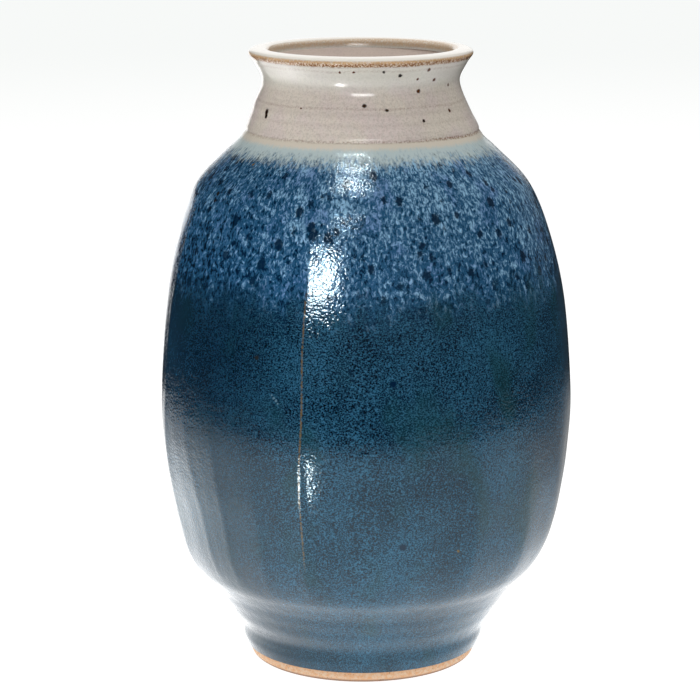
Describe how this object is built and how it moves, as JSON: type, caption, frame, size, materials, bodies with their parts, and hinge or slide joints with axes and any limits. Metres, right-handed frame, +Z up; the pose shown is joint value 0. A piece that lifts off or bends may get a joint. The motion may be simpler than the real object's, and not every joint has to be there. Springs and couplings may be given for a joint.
{
  "type": "stoneware vase",
  "caption": "Tall round stoneware vase with shallow knife-cut facets, a flared collar neck, a bare foot ring and layered glazes.",
  "frame": {"origin": "centre of the plane the foot ring rests on", "axes": "+Z up along the throwing axis; the front of the vase, with the sharp ridge just left of centre, faces -Y"},
  "size_m": [0.1678, 0.1687, 0.25],
  "materials": {
    "hidden_clay": "fired tan stoneware under the glaze, matte and slightly grainy; bare on the underside inside the foot ring",
    "bare_clay": "unglazed tan stoneware with a toasted orange line under the glaze, dry and grainy",
    "blue_glaze": "dark slate-blue glaze, glossy with a fine speckle, breaking tan on the sharp ridge",
    "mottled_glaze": "mottled blue overlap glaze with light streaks and dark navy spots, pale at its upper edge",
    "oatmeal_glaze": "glossy warm grey oatmeal glaze with red-brown iron specks, breaking brown on the lip",
    "liner_glaze": "glossy warm grey oatmeal liner glaze, thinner than on the collar"
  },
  "bodies": {
    "root": {"body_wall": "hidden_clay", "neck_collar": "hidden_clay", "foot_ring": "bare_clay", "body_glaze": "blue_glaze", "shoulder_glaze": "mottled_glaze", "collar_glaze": "oatmeal_glaze", "liner_glaze": "liner_glaze"}
  },
  "joints": []
}
